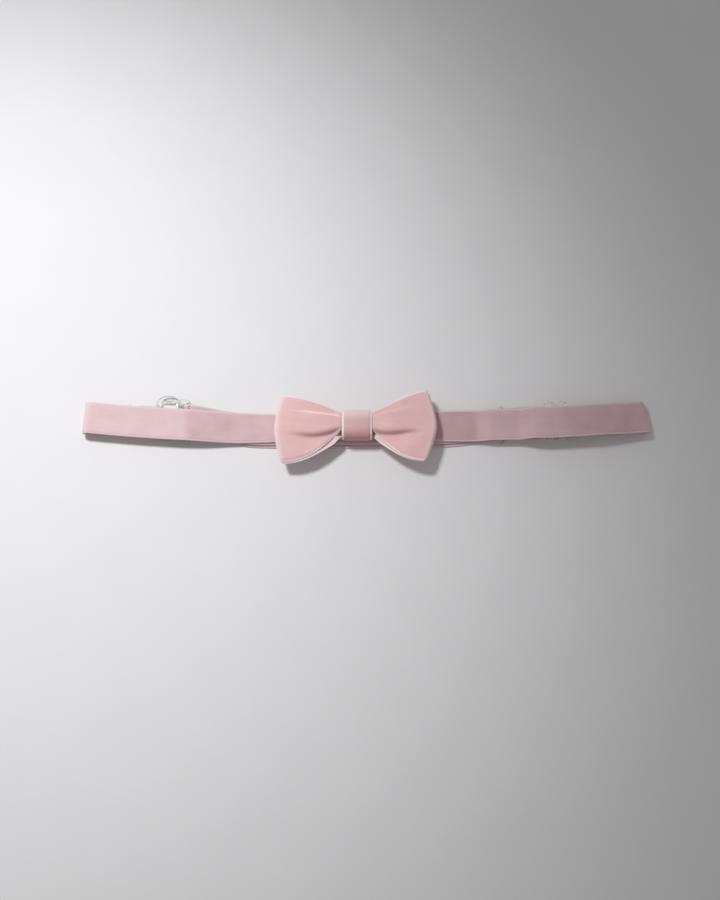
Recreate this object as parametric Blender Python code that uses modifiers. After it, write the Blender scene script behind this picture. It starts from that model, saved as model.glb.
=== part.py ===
"""Ready-tied velvet bow on an adjustable ribbon band, laid folded flat.

The band is one length of narrow velvet ribbon. It starts at a clear ring, turns back at the left
fold, runs along the front through the bow's knot, turns back at the right fold, passes through a
figure-of-eight slider, goes on to a hook that is caught in the ring, and comes back to the slider,
where its end is sewn. X runs along the band, Y across it, and Z up from the surface it lies on.
"""

import math

import bpy
from mathutils import Matrix, Vector

# Ribbon and thread stock
RIBBON_THICKNESS = 0.0006
BAND_WIDTH = 0.010
BOW_RIBBON_WIDTH = 0.0222
KNOT_RIBBON_WIDTH = 0.0097
GATHER_THREAD = 0.0004
TACK_THREAD = 0.0003
CLEARANCE = 0.0003

# Band, as it is laid
LAID_LENGTH = 0.1816
BAND_TILT = 0.006
LEFT_STRAIGHT = 0.030
LEFT_RISE = 0.0035
RIGHT_STRAIGHT = 0.040
RIGHT_RISE = 0.0027
KNOT_BAND_WIDTH = 0.0072
KNOT_DRAW = 0.045
LEFT_RAMP = 0.018
FOLD_BULGE = 0.0019
FOLD_SHIFT = 0.0005
LEFT_FOLD_SKEW = 0.0001
RIGHT_FOLD_SKEW = 0.0005
RIGHT_FOLD_HEIGHT = 0.0044
TACK_WIDTH = 0.008

# Bow, from the middle of its knot
KNOT_X = -0.0029
BOW_LEFT_REACH = 0.0263
BOW_RIGHT_REACH = 0.0253
BOW_WAIST_THICKNESS = 0.0026
BOW_LOOP_DEPTH = 0.0036
BOW_END_CURVE = 0.0028
BOW_LEFT_DROP = 0.0020
BOW_RIGHT_DROP = 0.0007
BOW_LEFT_CUP = 0.0016
BOW_RIGHT_CUP = 0.0003
BOW_LEFT_FULLNESS = (0.85, 0.75)
BOW_RIGHT_FULLNESS = (0.8, 0.45)
BOW_RISE = 0.0075
BOW_TUCK = 0.0008
PLEAT_DEPTH = 0.0010
PLEAT_FADE = 0.015
PLEAT_SPACING = 0.94
PLEAT_CENTRE = 0.05
GATHER_TURNS = 3
STITCH_RISE = 0.0015

# Ring
RING_WIRE = 0.0015
RING_LENGTH = 0.0083
RING_WIDTH = 0.0148
RING_END_WALL = 0.0021
RING_CORNER = 0.0036
RING_HOLE_CORNER = 0.0010
RING_ROUND = 0.0005
RING_TIP_LIFT = 0.0001
RING_OFFSET = 0.0020
RING_PLAY = 0.0006
RING_FLAP_OFFSET = 0.0009
RING_DRIFT = 0.008
RING_TAB = 0.009

# Hook
HOOK_INSET = 0.0333
HOOK_THICKNESS = 0.0012
HOOK_BAR = 0.0015
HOOK_CORNER = 0.0019
HOOK_SLOT = 0.0017
HOOK_LIMB = 0.0017
HOOK_WALL = 0.0015
HOOK_TONGUE_WIDTH = 0.005
HOOK_LIP = 0.0010
HOOK_LIP_DROP = 0.0014
HOOK_TONGUE_THICKNESS = 0.00096
HOOK_OFFSET = 0.0021
HOOK_ROOM = 0.0006

# Slider
SLIDER_INSET = 0.0296
SLIDER_THICKNESS = 0.0014
SLIDER_BAR = 0.0011
SLIDER_WALL = 0.0005
SLIDER_HUMP = 0.0005
SLIDER_OFFSET = 0.0010
SLIDER_TAIL = 0.0148
TAIL_SWING = 0.0008
TAIL_TURN = 0.007
SLIDER_TRAVEL_LEFT = 0.004
SLIDER_TRAVEL_RIGHT = 0.008

# Adjusting loop
LOOP_DROP = 0.0004
LOOP_LOWER_DROP = 0.0010
LOOP_LEFT = 0.034
LOOP_RIGHT = 0.022

# Rounding on the moulded plastic
MOULD_ROUND = 0.00025

PLY = RIBBON_THICKNESS + CLEARANCE
SEAT = RIBBON_THICKNESS / 2 + CLEARANCE
HALF_LENGTH = LAID_LENGTH / 2
FOLD_X = HALF_LENGTH - FOLD_BULGE - CLEARANCE - RIBBON_THICKNESS / 2
AXIS_X = FOLD_X + CLEARANCE / 2
KNOT_HALF = KNOT_RIBBON_WIDTH / 2
HOOK_X = HOOK_INSET - HALF_LENGTH
SLIDER_X = HALF_LENGTH - SLIDER_INSET
STITCH_SWING = 3 * TACK_THREAD

# Heights of the ribbon's plies, at the middle of each ply
LOWER_Z = RIBBON_THICKNESS / 2
UPPER_Z = LOWER_Z + PLY
FRONT_LOW_Z = UPPER_Z + PLY
KNOT_BACK_Z = UPPER_Z + PLY
FRONT_KNOT_Z = KNOT_BACK_Z + PLY
THREAD_LOW_Z = FRONT_KNOT_Z + SEAT + GATHER_THREAD / 2
WAIST_LOW_Z = THREAD_LOW_Z + GATHER_THREAD / 2 + CLEARANCE
WAIST_HIGH_Z = WAIST_LOW_Z + BOW_WAIST_THICKNESS
THREAD_HIGH_Z = WAIST_HIGH_Z + CLEARANCE + GATHER_THREAD / 2
KNOT_FRONT_Z = THREAD_HIGH_Z + GATHER_THREAD / 2 + SEAT

# Heights at the ring, the hook and the slider
RING_BAR_Z = LOWER_Z + SEAT + RING_WIRE / 2
RING_TIP_Z = RING_TIP_LIFT + RING_WIRE / 2
HOOK_BAR_Z = LOWER_Z + SEAT + HOOK_THICKNESS / 2
HOOK_LIMB_Z = RING_TIP_Z + RING_WIRE / 2 + CLEARANCE + HOOK_THICKNESS / 2
TAIL_Z = LOWER_Z + PLY
TACK_Z = TAIL_Z + SEAT + TACK_THREAD / 2
UPPER_TACK_Z = TACK_Z + TACK_THREAD / 2 + SEAT
WEAVE_LOW_Z = TAIL_Z + PLY
SLIDER_Z = WEAVE_LOW_Z + SEAT + SLIDER_THICKNESS / 2
TURN_TOP_Z = SLIDER_Z + SLIDER_THICKNESS / 2 + SEAT
WEAVE_TOP_Z = TURN_TOP_Z + PLY
FRONT_SLIDER_Z = WEAVE_TOP_Z + PLY
RING_TAB_Z = RING_BAR_Z + RING_WIRE / 2 + SEAT
FRONT_LEFT_Z = RING_TAB_Z + PLY + HOOK_ROOM

# Places along the band
RING_PITCH = RING_LENGTH - RING_WIRE
RING_TILT = math.asin((RING_BAR_Z - RING_TIP_Z) / RING_PITCH)
HOOK_CATCH = HOOK_BAR / 2 + HOOK_SLOT + HOOK_LIMB / 2
HOOK_TILT = math.asin((HOOK_LIMB_Z - HOOK_BAR_Z) / HOOK_CATCH)
RING_X = HOOK_X - HOOK_CATCH * math.cos(HOOK_TILT) - RING_PITCH * math.cos(RING_TILT)
RING_TURN_WIDTH = RING_WIDTH - 2 * (RING_END_WALL + RING_HOLE_CORNER + CLEARANCE)
SLIDER_SLOT = 2 * RIBBON_THICKNESS + 3 * CLEARANCE
SLIDER_HALF = SLIDER_BAR / 2 + SLIDER_SLOT + SLIDER_BAR
WEAVE_HALF = SLIDER_HALF + 2 * CLEARANCE
SLOT_LENGTH = BAND_WIDTH + 2 * CLEARANCE
TAIL_END = SLIDER_X - SLIDER_BAR / 2 - 2 * SEAT - SLIDER_TAIL
TACK_X = TAIL_END + BAND_WIDTH / 2
EASE = BAND_WIDTH / 2
FRONT_MEET = KNOT_X + KNOT_HALF + EASE
RISE_START = TAIL_END - SLIDER_TRAVEL_LEFT - EASE


def smooth(share):
    """Ease from 0 to 1."""
    share = min(max(share, 0.0), 1.0)
    return share * share * (3.0 - 2.0 * share)


def level(stations, x):
    """Height at x of a ribbon that eases from each station (x, height) to the next."""
    for (x0, z0), (x1, z1) in zip(stations, stations[1:]):
        if x <= x1:
            return z0 + (z1 - z0) * smooth((x - x0) / (x1 - x0))
    return stations[-1][1]


def spaced(first, last, count):
    """Evenly spaced values from first to last, both included."""
    return [first + (last - first) * i / (count - 1) for i in range(count)]


def band_y(x):
    """Middle of the front band: straight behind the bow, and curving away from the viewer to both ends."""
    left = max(-x - LEFT_STRAIGHT, 0.0) / (HALF_LENGTH - LEFT_STRAIGHT)
    right = max(x - RIGHT_STRAIGHT, 0.0) / (HALF_LENGTH - RIGHT_STRAIGHT)
    return BAND_TILT * x + LEFT_RISE * left**2 + RIGHT_RISE * right**2


def left_flap_y(x):
    """Middle of the left flap, which drifts off the front band before it reaches the ring."""
    stations = [(-FOLD_X, FOLD_SHIFT), (RING_X - RING_DRIFT, RING_FLAP_OFFSET), (RING_X, RING_OFFSET)]
    return band_y(x) + level(stations, x)


def right_flap_y(x):
    """Middle of the right flap, which drifts off the front band towards the slider."""
    return band_y(x) + level([(SLIDER_X, SLIDER_OFFSET), (FOLD_X, FOLD_SHIFT)], x)


def loop_y(x):
    """Middle of the adjusting loop, which hangs below the front band between the hook and the slider."""
    stations = [
        (HOOK_X, HOOK_OFFSET),
        (-LOOP_LEFT, -LOOP_DROP),
        (LOOP_RIGHT, -LOOP_DROP),
        (TAIL_END, SLIDER_OFFSET),
    ]
    return band_y(x) + level(stations, x)


def loop_lower_y(x):
    """Middle of the loop's lower run, which hangs a little further out than the upper one."""
    share = (x - HOOK_X) / (SLIDER_X - HOOK_X)
    return loop_y(x) - 4 * LOOP_LOWER_DROP * max(share * (1 - share), 0.0)


def tail_y(x):
    """Middle of the sewn tail, which swings off the loop towards its cut end."""
    return loop_y(x) + TAIL_SWING * smooth((SLIDER_X - x) / TAIL_TURN)


def slope(middle, x):
    """Slope of a ribbon's middle line in plan."""
    step = BAND_WIDTH / 20
    return (middle(x + step) - middle(x - step)) / (2 * step)


def across(middle, x):
    """Direction across a ribbon at x."""
    return Vector((-slope(middle, x), 1.0, 0.0)).normalized()


def turn(x, z, radius_x, radius_z, first, last, count=7):
    """Points (x, z) of an arc, with its angles in degrees from +X towards +Z."""
    angles = [math.radians(a) for a in spaced(first, last, count)]
    return [(x + radius_x * math.cos(a), z + radius_z * math.sin(a)) for a in angles]


def rounded(half_y, low, high, radius, count=5):
    """Points (y, z) of an upright rounded rectangle, from its lower right corner round to it again."""
    corners = ((1, low + radius, -90), (1, high - radius, 0), (-1, high - radius, 90), (-1, low + radius, 180))
    points = []
    for side, z, first in corners:
        points += turn(side * (half_y - radius), z, radius, radius, first, first + 90, count)
    return points


def collection(name):
    group = bpy.data.collections.new(name)
    bpy.context.scene.collection.children.link(group)
    return group


def material(name, colour, roughness):
    finish = bpy.data.materials.new(name)
    finish.use_nodes = True
    shader = finish.node_tree.nodes["Principled BSDF"]
    shader.inputs["Base Color"].default_value = (*colour, 1.0)
    shader.inputs["Roughness"].default_value = roughness
    shader.inputs["Metallic"].default_value = 0.0
    return finish


def add(name, data, finish, parent=None):
    """Put an object whose data is in world coordinates into the part."""
    data.materials.append(finish)
    item = bpy.data.objects.new(name, data)
    PART.objects.link(item)
    if parent:
        item.parent = parent
        item.matrix_parent_inverse = parent.matrix_world.inverted()
    return item


def axis(name, place, direction):
    """An empty whose Y lies along a joint's axis."""
    item = bpy.data.objects.new(name, None)
    PART.objects.link(item)
    item.location = place
    item.rotation_euler.z = math.atan2(direction.y, direction.x) - math.pi / 2
    bpy.context.view_layer.update()
    return item


def cloth(name, rows, finish, parent=None, closed=False):
    """A ribbon: rows of points across its width, joined and thickened."""
    width = len(rows[0])
    points = [point for row in rows for point in row]
    count = len(rows) if closed else len(rows) - 1
    faces = []
    for i in range(count):
        here = i * width
        there = (i + 1) % len(rows) * width
        faces += [(here + j, here + j + 1, there + j + 1, there + j) for j in range(width - 1)]
    mesh = bpy.data.meshes.new(name)
    mesh.from_pydata(points, [], faces)
    mesh.shade_smooth()
    item = add(name, mesh, finish, parent)
    wall = item.modifiers.new("ribbon thickness", "SOLIDIFY")
    wall.thickness = RIBBON_THICKNESS
    wall.offset = 0.0
    wall.use_even_offset = True
    return item


def strip(name, path, middle, finish, parent=None, width_at=None):
    """A flat ribbon along a path of (x, y, z), as wide as width_at says."""
    rows = []
    for x, y, z in path:
        half = (width_at(x) if width_at else BAND_WIDTH) / 2
        side = across(middle, x) * half
        rows.append([Vector((x, y, z)) - side, Vector((x, y, z)) + side])
    return cloth(name, rows, finish, parent)


def placed(points, middle):
    """Points (x, z) with the y of a ribbon's middle line."""
    return [(x, middle(x), z) for x, z in points]


def thread(name, points, diameter, finish, parent=None):
    """One unbroken thread through the points."""
    curve = bpy.data.curves.new(name, "CURVE")
    curve.dimensions = "3D"
    curve.bevel_depth = diameter / 2
    curve.bevel_resolution = 1
    curve.use_fill_caps = True
    spline = curve.splines.new("POLY")
    spline.points.add(len(points) - 1)
    for knot, point in zip(spline.points, points):
        knot.co = (*point, 1.0)
    return add(name, curve, finish, parent)


def bar_tack(name, x, z, middle, width, parent):
    """A zigzag of thread across the ribbon."""
    count = 2 * round(width / (4 * TACK_THREAD)) + 1
    side = across(middle, x)
    points = []
    for i, place in enumerate(spaced(-width / 2, width / 2, count)):
        swing = STITCH_SWING if i % 2 else -STITCH_SWING
        points.append(Vector((x + swing, middle(x), z)) + side * place)
    return thread(name, points, TACK_THREAD, THREAD, parent)


def moulding(name, outlines, thickness, rounding, finish):
    """A flat plastic moulding: an outline and its holes, with rounded edges, lying in its own XY plane."""
    curve = bpy.data.curves.new(name, "CURVE")
    curve.dimensions = "2D"
    curve.fill_mode = "BOTH"
    curve.extrude = thickness / 2 - rounding
    curve.bevel_depth = rounding
    curve.bevel_resolution = 1
    curve.offset = -rounding
    for outline in outlines:
        spline = curve.splines.new("POLY")
        spline.use_cyclic_u = True
        spline.points.add(len(outline) - 1)
        for knot, (x, y) in zip(spline.points, outline):
            knot.co = (x, y, 0.0, 1.0)
    return add(name, curve, finish)


def solid_mesh(item):
    """The object again as a plain closed mesh."""
    seen = item.evaluated_get(bpy.context.evaluated_depsgraph_get())
    mesh = bpy.data.meshes.new_from_object(seen)
    name = item.name
    bpy.data.objects.remove(item)
    solid = bpy.data.objects.new(name, mesh)
    PART.objects.link(solid)
    weld = solid.modifiers.new("close caps", "WELD")
    weld.merge_threshold = CLEARANCE / 100
    return solid


def rounded_plan(low_x, high_x, half_y, radius_low, radius_high, count=6):
    """Points (x, y) of a rounded rectangle with its own radius at each end."""
    corners = (
        (high_x, 1, radius_high, 0),
        (low_x, 1, radius_low, 90),
        (low_x, -1, radius_low, 180),
        (high_x, -1, radius_high, 270),
    )
    points = []
    for x, side, radius, first in corners:
        centre_x = x - radius if x == high_x else x + radius
        points += turn(centre_x, side * (half_y - radius), radius, radius, first, first + 90, count)
    return points


for old in list(bpy.data.objects):
    bpy.data.objects.remove(old)

PART = collection("velvet_bow_band")
CUTTERS = collection("velvet_bow_band_tools")
BAND_VELVET = material("pink velvet ribbon", (0.72, 0.48, 0.49), 0.9)
BOW_VELVET = material("pale pink velvet ribbon", (0.86, 0.60, 0.59), 0.9)
THREAD = material("pink sewing thread", (0.80, 0.62, 0.62), 0.7)
CLEAR_PLASTIC = material("clear acrylic", (0.82, 0.84, 0.86), 0.08)

# Joint axes: the two folds, the ring's bar, the hook's bar and the slider's middle bar
LEFT_MID_Z = (FRONT_LEFT_Z + LOWER_Z) / 2
RIGHT_MID_Z = (RIGHT_FOLD_HEIGHT + LOWER_Z) / 2
left_slope = (slope(band_y, -FOLD_X) + slope(left_flap_y, -FOLD_X)) / 2
right_slope = (slope(band_y, FOLD_X) + slope(right_flap_y, FOLD_X)) / 2
LEFT_ACROSS = Vector((-left_slope, 1.0, 0.0)).normalized()
RIGHT_ACROSS = Vector((-right_slope, 1.0, 0.0)).normalized()
RING_ACROSS = across(left_flap_y, RING_X)
HOOK_ACROSS = across(loop_y, HOOK_X)
SLIDER_ACROSS = across(loop_y, SLIDER_X)
LEFT_AXIS = axis("left_fold_axis", (-AXIS_X, band_y(-FOLD_X), LEFT_MID_Z), LEFT_ACROSS)
RIGHT_AXIS = axis("right_fold_axis", (AXIS_X, band_y(FOLD_X), RIGHT_MID_Z), RIGHT_ACROSS)
RING_AXIS = axis("ring_axis", (RING_X, left_flap_y(RING_X) + RING_PLAY, RING_BAR_Z), RING_ACROSS)
HOOK_AXIS = axis("hook_axis", (HOOK_X, loop_y(HOOK_X), HOOK_BAR_Z), HOOK_ACROSS)
SLIDER_AXIS = axis("slider_axis", (SLIDER_X, loop_y(SLIDER_X), SLIDER_Z), SLIDER_ACROSS)

# Front band: lies over the ring and the hook, comes down between them and the bow, lifts through the
# knot, and lies over the sewn tail and the slider before it comes down to the right fold
FRONT_STATIONS = [
    (-FOLD_X, FRONT_LEFT_Z),
    (HOOK_X - HOOK_BAR / 2, FRONT_LEFT_Z),
    (HOOK_X + LEFT_RAMP, FRONT_LOW_Z),
    (KNOT_X - KNOT_HALF - EASE, FRONT_LOW_Z),
    (KNOT_X - KNOT_HALF - EASE / 8, FRONT_KNOT_Z),
    (KNOT_X + KNOT_HALF + EASE / 8, FRONT_KNOT_Z),
    (FRONT_MEET, FRONT_LOW_Z),
    (RISE_START, FRONT_LOW_Z),
    (RISE_START + EASE, UPPER_TACK_Z + PLY),
    (SLIDER_X - SLIDER_HALF - SLIDER_TRAVEL_LEFT - EASE, UPPER_TACK_Z + PLY),
    (SLIDER_X - SLIDER_HALF - SLIDER_TRAVEL_LEFT + SLIDER_BAR, FRONT_SLIDER_Z),
    (SLIDER_X + SLIDER_HALF + SLIDER_TRAVEL_RIGHT, FRONT_SLIDER_Z),
    (FOLD_X, RIGHT_FOLD_HEIGHT),
]


def front_width(x):
    """The knot draws the front band in a little."""
    away = abs(x - KNOT_X) - KNOT_HALF
    return KNOT_BAND_WIDTH + (BAND_WIDTH - KNOT_BAND_WIDTH) * math.sin(math.pi / 2 * min(away / KNOT_DRAW, 1.0))


def front_run(name, first, last, count):
    """One run of the front band."""
    run = [(x, level(FRONT_STATIONS, x)) for x in spaced(first, last, count)]
    strip(name, placed(run, band_y), band_y, BAND_VELVET, width_at=front_width)


# Three runs, which meet where the band has come down from the knot and where it starts to rise over the tail
front_run("front_band", -FOLD_X, FRONT_MEET - CLEARANCE / 2, 54)
front_run("front_band_right", FRONT_MEET + CLEARANCE / 2, RISE_START - CLEARANCE / 2, 12)
front_run("front_band_rise", RISE_START + CLEARANCE / 2, FOLD_X, 32)


def fold(name, side, height, skew, direction):
    """The band's turn at one end, from the front's level down to the flap's."""
    middle_z = (height + LOWER_Z) / 2
    drop = (height - LOWER_Z) / 2
    rows = []
    for angle in [math.radians(a) for a in spaced(90, -90, 11)]:
        row = []
        for edge in (-1, 1):
            bulge = (FOLD_BULGE - skew * edge) * math.cos(angle)
            place = direction * (edge * BAND_WIDTH / 2)
            x = side * (FOLD_X + CLEARANCE + bulge) + place.x
            y = band_y(side * FOLD_X) + FOLD_SHIFT * (1 - math.sin(angle)) / 2 + place.y
            row.append((x, y, middle_z + drop * math.sin(angle)))
        rows.append(row)
    cloth(name, rows, BAND_VELVET)


fold("left_fold", -1, FRONT_LEFT_Z, LEFT_FOLD_SKEW, LEFT_ACROSS)
fold("right_fold", 1, RIGHT_FOLD_HEIGHT, RIGHT_FOLD_SKEW, RIGHT_ACROSS)

# Left flap: lies on the surface, turns round the ring's bar and ends in a sewn tab on top of itself
TURN_RADIUS = RING_WIRE / 2 + SEAT
TAB_STATIONS = [(RING_X - RING_TAB + EASE / 2, UPPER_Z), (RING_X - RING_WIRE, RING_TAB_Z)]


def flap_width(x):
    """The ring's rounded corners draw the ribbon in at its turn."""
    return RING_TURN_WIDTH + (BAND_WIDTH - RING_TURN_WIDTH) * smooth((RING_X - x) / EASE)


left = [(x, LOWER_Z) for x in spaced(-FOLD_X, RING_X - RING_WIRE, 10)]
left += turn(RING_X, RING_BAR_Z, TURN_RADIUS, TURN_RADIUS, -90, 90, 9)
left += [(x, level(TAB_STATIONS, x)) for x in spaced(RING_X - RING_WIRE, RING_X - RING_TAB, 8)]
strip("left_flap", placed(left, left_flap_y), left_flap_y, BAND_VELVET, LEFT_AXIS, flap_width)
RING_TACK_X = RING_X - RING_TAB + EASE / 3
bar_tack("ring_tack", RING_TACK_X, UPPER_Z + SEAT + TACK_THREAD / 2, left_flap_y, TACK_WIDTH, LEFT_AXIS)

# Ring: a clear moulding with a round bar on the turning axis and broad round ends
ring_line = rounded_plan(-RING_WIRE / 2, RING_PITCH + RING_WIRE / 2, RING_WIDTH / 2, RING_CORNER, RING_CORNER, 9)
ring_hole = rounded_plan(
    RING_WIRE / 2, RING_PITCH - RING_WIRE / 2, RING_WIDTH / 2 - RING_END_WALL, RING_HOLE_CORNER, RING_HOLE_CORNER
)
ring = moulding("ring", [ring_line, ring_hole], RING_WIRE, RING_ROUND, CLEAR_PLASTIC)
ring.data.bevel_resolution = 2
ring.parent = RING_AXIS
ring.rotation_euler.y = RING_TILT

# Hook: a frame with a slot for the ribbon, and a tongue that lies over the ring and turns down into it
HOOK_HALF = SLOT_LENGTH / 2 + HOOK_WALL
HOOK_LEFT = -(HOOK_CATCH + HOOK_LIMB / 2)
LIP_FACE = -(HOOK_CATCH + RING_WIRE / 2 + CLEARANCE)
hook_frame = rounded_plan(HOOK_LEFT, HOOK_BAR / 2, HOOK_HALF, HOOK_CORNER, HOOK_CORNER)
hook_slot = rounded_plan(
    -HOOK_BAR / 2 - HOOK_SLOT, -HOOK_BAR / 2, SLOT_LENGTH / 2, HOOK_SLOT / 3, HOOK_SLOT / 3
)
hook = solid_mesh(moulding("hook", [hook_frame, hook_slot], HOOK_THICKNESS, MOULD_ROUND, CLEAR_PLASTIC))
TONGUE_HALF = HOOK_TONGUE_THICKNESS / 2
LIP_TIP = -HOOK_THICKNESS / 2 - HOOK_LIP_DROP
LIP_MIDDLE = LIP_FACE - HOOK_LIP / 2
tongue_line = [(HOOK_LEFT + HOOK_LIMB / 2, -TONGUE_HALF), (HOOK_LEFT + HOOK_LIMB / 2, TONGUE_HALF)]
tongue_line += turn(LIP_FACE, TONGUE_HALF - HOOK_LIP, HOOK_LIP, HOOK_LIP, 90, 180, 6)
tongue_line += turn(LIP_MIDDLE, LIP_TIP + HOOK_LIP / 2, HOOK_LIP / 2, HOOK_LIP / 2, 180, 360, 7)
tongue_line += [(LIP_FACE, -TONGUE_HALF)]
tongue = solid_mesh(moulding("hook_tongue", [tongue_line], HOOK_TONGUE_WIDTH, MOULD_ROUND, CLEAR_PLASTIC))
tongue.data.transform(Matrix.Rotation(math.pi / 2, 4, "X"))
tongue.hide_render = True
tongue.display_type = "WIRE"
PART.objects.unlink(tongue)
CUTTERS.objects.link(tongue)
join = hook.modifiers.new("tongue", "BOOLEAN")
join.operation = "UNION"
join.object = tongue
tongue.parent = HOOK_AXIS
tongue.rotation_euler.y = HOOK_TILT
hook.parent = HOOK_AXIS
hook.rotation_euler.y = HOOK_TILT

# Slider: two slots and three bars, with a hump at each end of each slot
SLIDER_SIDE = SLOT_LENGTH / 2 + SLIDER_WALL
slider_outline = []
for sign in (1, -1):
    for share in spaced(1.0, -1.0, 25)[:-1] if sign > 0 else spaced(-1.0, 1.0, 25)[:-1]:
        hump = SLIDER_HUMP * abs(math.sin(math.pi * share)) ** 0.8
        slider_outline.append((SLIDER_HALF * share, sign * (SLIDER_SIDE + hump)))
slots = []
for sign in (1, -1):
    inner = sign * SLIDER_BAR / 2
    outer = sign * (SLIDER_BAR / 2 + SLIDER_SLOT)
    low, high = min(inner, outer), max(inner, outer)
    slots.append(rounded_plan(low, high, SLOT_LENGTH / 2, SLIDER_SLOT / 4, SLIDER_SLOT / 4, 4))
slider = moulding("slider", [slider_outline] + slots, SLIDER_THICKNESS, MOULD_ROUND, CLEAR_PLASTIC)
slider.parent = SLIDER_AXIS

# Sewn end: comes in under the slider, turns round its middle bar and goes back as a tail
TURN_X = SLIDER_BAR / 2 + SEAT
BEND = RIBBON_THICKNESS / 2 + CLEARANCE
slider_top = SLIDER_Z + SLIDER_THICKNESS / 2
tail = [(SLIDER_X - WEAVE_HALF, LOWER_Z), (SLIDER_X - SLIDER_BAR / 2, LOWER_Z)]
tail += turn(SLIDER_X - SLIDER_BAR / 2, SLIDER_Z, TURN_X + SLIDER_BAR / 2, SLIDER_Z - LOWER_Z, -72, 0, 6)
tail += turn(SLIDER_X, slider_top, TURN_X, SEAT, 0, 180, 9)
tail += turn(SLIDER_X - TURN_X - BEND, TAIL_Z + BEND, BEND, BEND, 0, -90, 5)
tail = placed(tail, loop_y)
tail += [(x, tail_y(x), TAIL_Z) for x in spaced(SLIDER_X - WEAVE_HALF, TAIL_END, 9)]
strip("slider_tail", tail, loop_y, BAND_VELVET, SLIDER_AXIS)
bar_tack("slider_tack", TACK_X, TACK_Z, tail_y, TACK_WIDTH, SLIDER_AXIS)

# Weave: the band's run through the slider, under its outer bars and over its middle one
WEAVE_X = TURN_X + PLY
slider_low = SLIDER_Z - SLIDER_THICKNESS / 2
corner_x = WEAVE_X + BEND
weave = [(SLIDER_X + WEAVE_HALF, WEAVE_LOW_Z)]
weave += turn(SLIDER_X + corner_x, slider_low, BEND, BEND, -90, -180, 5)
weave += turn(SLIDER_X, slider_top, WEAVE_X, WEAVE_TOP_Z - slider_top, 0, 180, 13)
weave += turn(SLIDER_X - corner_x, slider_low, BEND, BEND, 0, -90, 5)
weave += [(SLIDER_X - WEAVE_HALF, WEAVE_LOW_Z)]
strip("slider_weave", placed(weave, loop_y), loop_y, BAND_VELVET, SLIDER_AXIS)

# Right flap: from the right fold along the surface and up to the slider
FLAP_END = SLIDER_X + WEAVE_HALF + CLEARANCE
FLAP_STATIONS = [(FLAP_END, WEAVE_LOW_Z), (FLAP_END + 2 * EASE, LOWER_Z), (FOLD_X, LOWER_Z)]
flap = [(x, level(FLAP_STATIONS, x)) for x in spaced(FOLD_X, FLAP_END, 16)]
strip("right_flap", placed(flap, right_flap_y), right_flap_y, BAND_VELVET, RIGHT_AXIS)

# Adjusting loop: from the slider along the upper run, round the hook's bar and back along the lower run
LOOP_END = SLIDER_X - WEAVE_HALF - CLEARANCE
HOOK_TURN_Z = HOOK_THICKNESS / 2 + SEAT
HOOK_RAMP = 0.007
UPPER_STATIONS = [
    (HOOK_X, HOOK_BAR_Z + HOOK_TURN_Z),
    (HOOK_X + HOOK_BAR, HOOK_BAR_Z + HOOK_TURN_Z),
    (HOOK_X + HOOK_BAR + HOOK_RAMP, UPPER_Z),
    (TAIL_END - EASE, UPPER_Z),
    (TAIL_END - CLEARANCE, UPPER_TACK_Z),
    (TACK_X + EASE / 2, UPPER_TACK_Z),
    (LOOP_END, WEAVE_LOW_Z),
]
loop = [(x, loop_y(x), level(UPPER_STATIONS, x)) for x in spaced(LOOP_END, HOOK_X, 60)]
loop += placed(turn(HOOK_X, HOOK_BAR_Z, HOOK_BAR / 2 + SEAT, HOOK_TURN_Z, 90, 270, 11)[1:-1], loop_y)
loop += [(x, loop_lower_y(x), LOWER_Z) for x in spaced(HOOK_X, LOOP_END, 40)]
strip("adjuster_loop", loop, loop_y, BAND_VELVET, RIGHT_AXIS)

# Knot: a ribbon once round the bow's waist and the band, closed by stitches on its far side
KNOT_Y = band_y(KNOT_X)
KNOT_OUTER = KNOT_BAND_WIDTH / 2 + SEAT
knot_line = rounded(KNOT_OUTER, KNOT_BACK_Z, KNOT_FRONT_Z, 2 * RIBBON_THICKNESS)
knot_rows = []
for y, z in knot_line:
    knot_rows.append([(KNOT_X - KNOT_HALF, KNOT_Y + y, z), (KNOT_X + KNOT_HALF, KNOT_Y + y, z)])
cloth("bow_knot", knot_rows, BOW_VELVET, closed=True)

STITCH_Y = KNOT_Y + KNOT_OUTER + SEAT + TACK_THREAD / 2
STITCH_Z = KNOT_BACK_Z + STITCH_RISE
stitch = []
for i, x in enumerate(spaced(KNOT_X - TACK_WIDTH / 2, KNOT_X + TACK_WIDTH / 2, 15)):
    stitch.append((x, STITCH_Y, STITCH_Z + (STITCH_SWING if i % 2 else -STITCH_SWING)))
thread("knot_stitches", stitch, TACK_THREAD, THREAD)

# Gather thread: wound round the bow's waist, inside the knot
GATHER_HALF = KNOT_OUTER - SEAT - GATHER_THREAD / 2
gather_line = rounded(GATHER_HALF, THREAD_LOW_Z, THREAD_HIGH_Z, GATHER_THREAD, 4)
gather = []
for i in range(GATHER_TURNS * len(gather_line)):
    y, z = gather_line[i % len(gather_line)]
    along = i / (GATHER_TURNS * len(gather_line)) - 0.5
    gather.append((KNOT_X + along * KNOT_HALF, KNOT_Y + y, z))
thread("gather_thread", gather, GATHER_THREAD, THREAD)

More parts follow.
